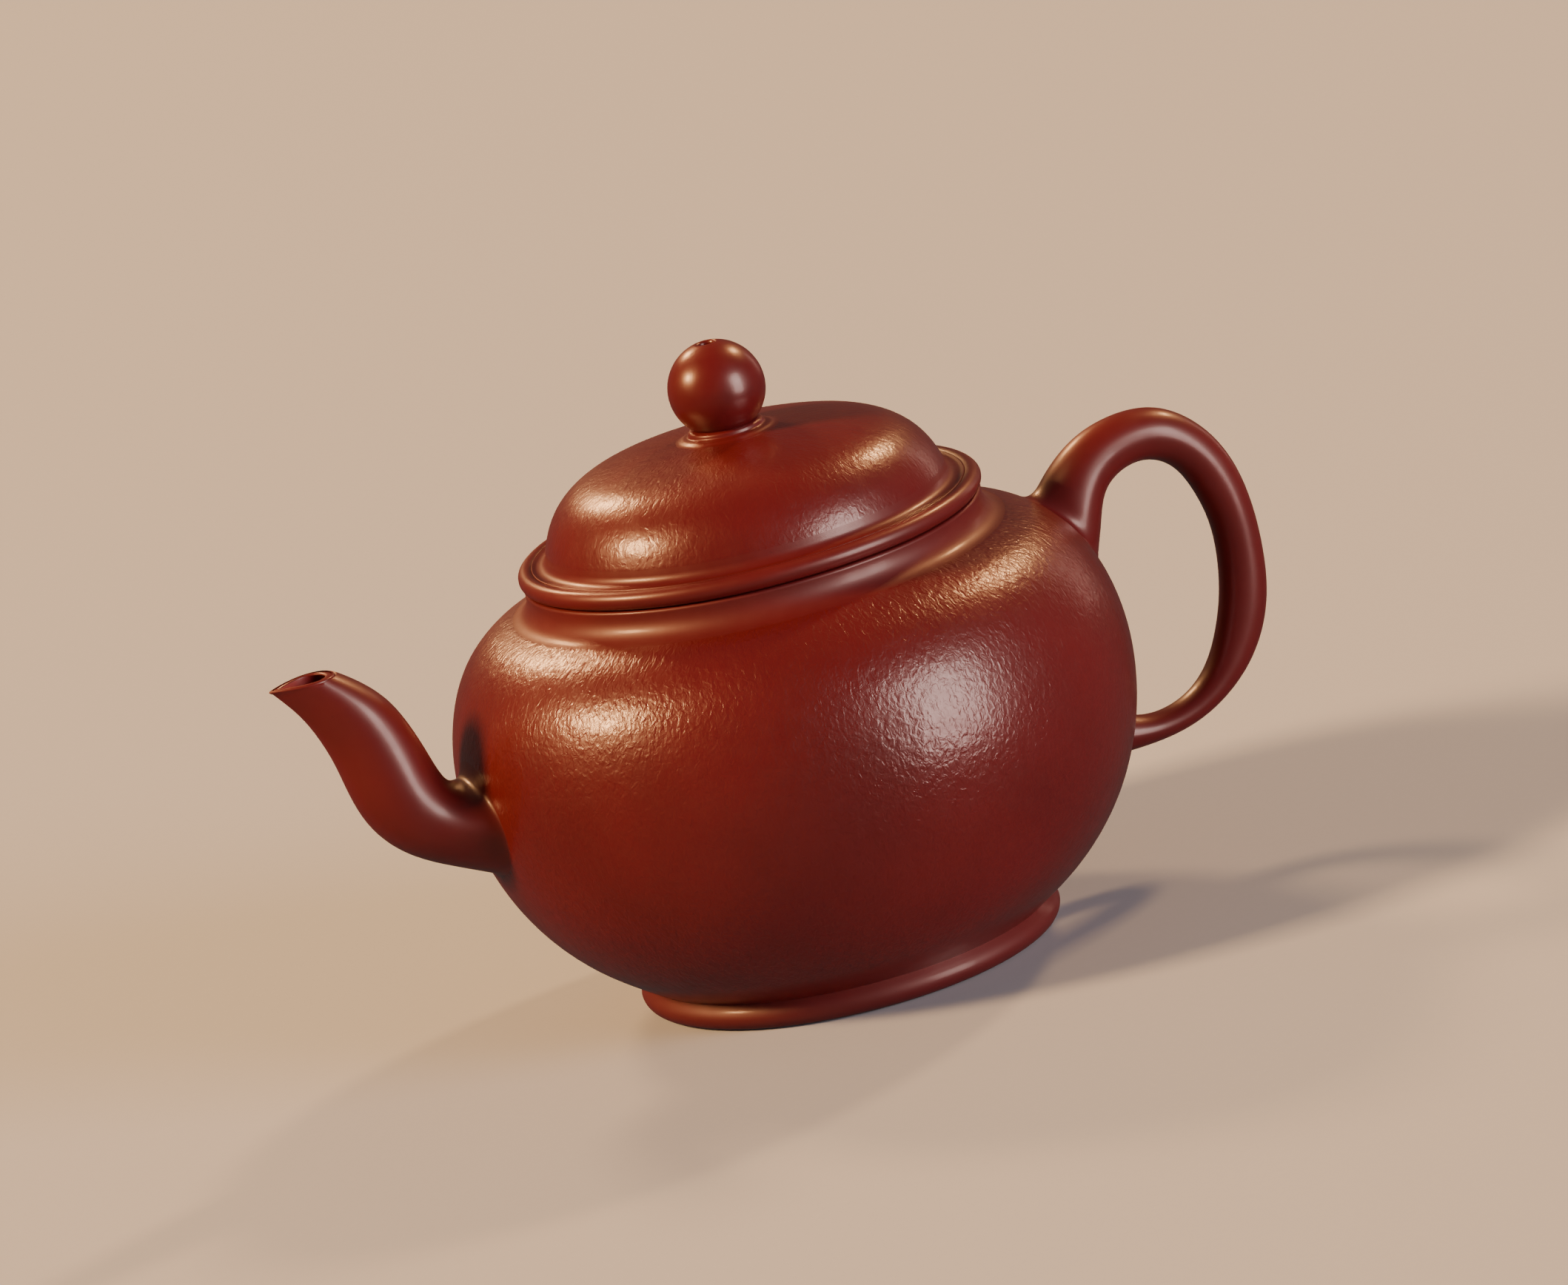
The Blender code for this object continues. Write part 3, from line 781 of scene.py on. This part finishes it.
def camera_axes():
    """Right, up and back directions of the camera, with its roll."""
    azimuth, elevation = math.radians(CAMERA_AZIMUTH), math.radians(CAMERA_ELEVATION)
    roll = math.radians(CAMERA_ROLL)
    back = Vector((
        math.sin(azimuth) * math.cos(elevation), -math.cos(azimuth) * math.cos(elevation),
        math.sin(elevation)))
    level = Vector((math.cos(azimuth), math.sin(azimuth), 0.0))
    upright = back.cross(level)
    right = level * math.cos(roll) + upright * math.sin(roll)
    up = upright * math.cos(roll) - level * math.sin(roll)
    return right, up, back


def make_camera():
    right, up, back = camera_axes()
    data = bpy.data.cameras.new("camera")
    data.sensor_width = SENSOR_WIDTH
    data.lens = LENS
    data.clip_end = CAMERA_REACH
    camera = bpy.data.objects.new("camera", data)
    turn = Matrix((right, up, back)).transposed()
    camera.matrix_world = Matrix.Translation(CAMERA_TARGET + back * CAMERA_DISTANCE) @ turn.to_4x4()
    bpy.context.scene.collection.objects.link(camera)
    bpy.context.scene.camera = camera


def softbox(name, direction, spread, colour, radiance):
    """Rectangular light far from the pot, facing it and hidden from the camera.

    The spread is how wide and how tall it looks from the pot, as width or height over distance.
    """
    data = bpy.data.lights.new(name, "AREA")
    data.shape = "RECTANGLE"
    data.size, data.size_y = (LIGHT_DISTANCE * part for part in spread)
    data.color = colour
    data.energy = radiance * math.pi * data.size * data.size_y
    light = bpy.data.objects.new(name, data)
    direction = Vector(direction).normalized()
    light.location = CAMERA_TARGET + direction * LIGHT_DISTANCE
    light.rotation_mode = "QUATERNION"
    light.rotation_quaternion = direction.to_track_quat("Z", "Y")
    light.visible_camera = False
    bpy.context.scene.collection.objects.link(light)


def make_studio():
    for settings in SOFTBOXES:
        softbox(*settings)
    world = bpy.data.worlds.new("studio")
    world.use_nodes = True
    background = world.node_tree.nodes["Background"]
    background.inputs["Color"].default_value = WORLD_COLOUR
    background.inputs["Strength"].default_value = WORLD_STRENGTH
    bpy.context.scene.world = world


def floor_paper():
    """Pale paper that turns into the backdrop's own glow far from the pot."""
    material = bpy.data.materials.new("floor_paper")
    material.use_nodes = True
    tree = material.node_tree
    shader = tree.nodes["Principled BSDF"]
    place = add_node(tree, "ShaderNodeTexCoord").outputs["Object"]
    fibre = add_node(tree, "ShaderNodeTexNoise", {"Vector": place, "Scale": 900.0, "Detail": 2.0})
    paper = mix_colours(tree, fibre.outputs["Fac"], PAPER_DARK, PAPER_LIGHT)
    glow = smooth_range(tree, vector_length(tree, place), GLOW_START, BACKDROP_RADIUS)
    tree.links.new(mix_colours(tree, glow, paper, BLACK), shader.inputs["Base Color"])
    tree.links.new(glow, shader.inputs["Emission Strength"])
    shader.inputs["Emission Color"].default_value = BACKDROP_COLOUR
    shader.inputs["Roughness"].default_value = 0.85
    shader.inputs["Specular IOR Level"].default_value = 0.2
    return material


def make_floor():
    """Square of paper under the pot, left out of the pot's reflections."""
    side = BACKDROP_RADIUS
    corners = [(-side, -side, 0), (side, -side, 0), (side, side, 0), (-side, side, 0)]
    mesh = bpy.data.meshes.new("floor")
    mesh.from_pydata(corners, [], [(0, 1, 2, 3)])
    mesh.materials.append(floor_paper())
    floor = bpy.data.objects.new("floor", mesh)
    floor.location.z = FLOOR_HEIGHT
    floor.visible_glossy = False
    bpy.context.scene.collection.objects.link(floor)


def backdrop_paper():
    material = bpy.data.materials.new("backdrop_paper")
    material.use_nodes = True
    tree = material.node_tree
    light = add_node(tree, "ShaderNodeEmission", {"Color": BACKDROP_COLOUR})
    tree.links.new(light.outputs["Emission"], tree.nodes["Material Output"].inputs["Surface"])
    return material


def make_backdrop():
    """Pale wall far round the pot, which only the camera sees, so low views have no dark horizon."""
    angles = np.linspace(0.0, math.tau, BACKDROP_SEGMENTS, endpoint=False)
    x, y = BACKDROP_RADIUS * np.cos(angles), BACKDROP_RADIUS * np.sin(angles)
    heights = (BACKDROP_FOOT, BACKDROP_RADIUS)
    rings = [np.stack([x, y, np.full(BACKDROP_SEGMENTS, height)], 1) for height in heights]
    points, faces = skin(rings, ends=True)
    mesh = bpy.data.meshes.new("backdrop")
    mesh.from_pydata([tuple(point) for point in points], [], faces)
    mesh.materials.append(backdrop_paper())
    backdrop = bpy.data.objects.new("backdrop", mesh)
    backdrop.visible_diffuse = False
    backdrop.visible_glossy = False
    backdrop.visible_transmission = False
    backdrop.visible_shadow = False
    bpy.context.scene.collection.objects.link(backdrop)


def make_teapot():
    noise.seed_set(HAND_SEED)
    belly_clay = clay("belly_clay", wrinkles=1.0, roughness=0.34, polish=0.25, fade=(28.0, 30.5))
    fine_clay = clay("fine_clay")
    knob_clay = clay("knob_clay", roughness=0.34)
    neck_clay = clay("neck_clay", roughness=0.48)
    foot_clay = clay("foot_clay", roughness=0.55)
    lid_clay = clay("lid_clay", wrinkles=0.6, roughness=0.34, polish=0.25, wrap=20.0)
    # Inside clay with its red painted 1.9 times brighter: painted light in the dim hollows of pot,
    # spout, strainer and lid.
    inner_clay_painted_bright = clay("inner_clay_painted_bright", wrinkles=0.5, roughness=0.60, polish=0.0, tone=1.9)
    make_pot_body(belly_clay, neck_clay, inner_clay_painted_bright)
    make_foot_ring(foot_clay)
    make_spout(fine_clay, inner_clay_painted_bright)
    make_ball_strainer(inner_clay_painted_bright)
    make_handle(fine_clay)
    make_lid_dome(lid_clay, fine_clay, inner_clay_painted_bright)
    make_lid_bead(fine_clay)
    make_lid_collar(inner_clay_painted_bright)
    make_knob_collar(fine_clay)
    make_knob(knob_clay)


make_camera()
make_studio()
make_floor()
make_backdrop()
make_teapot()
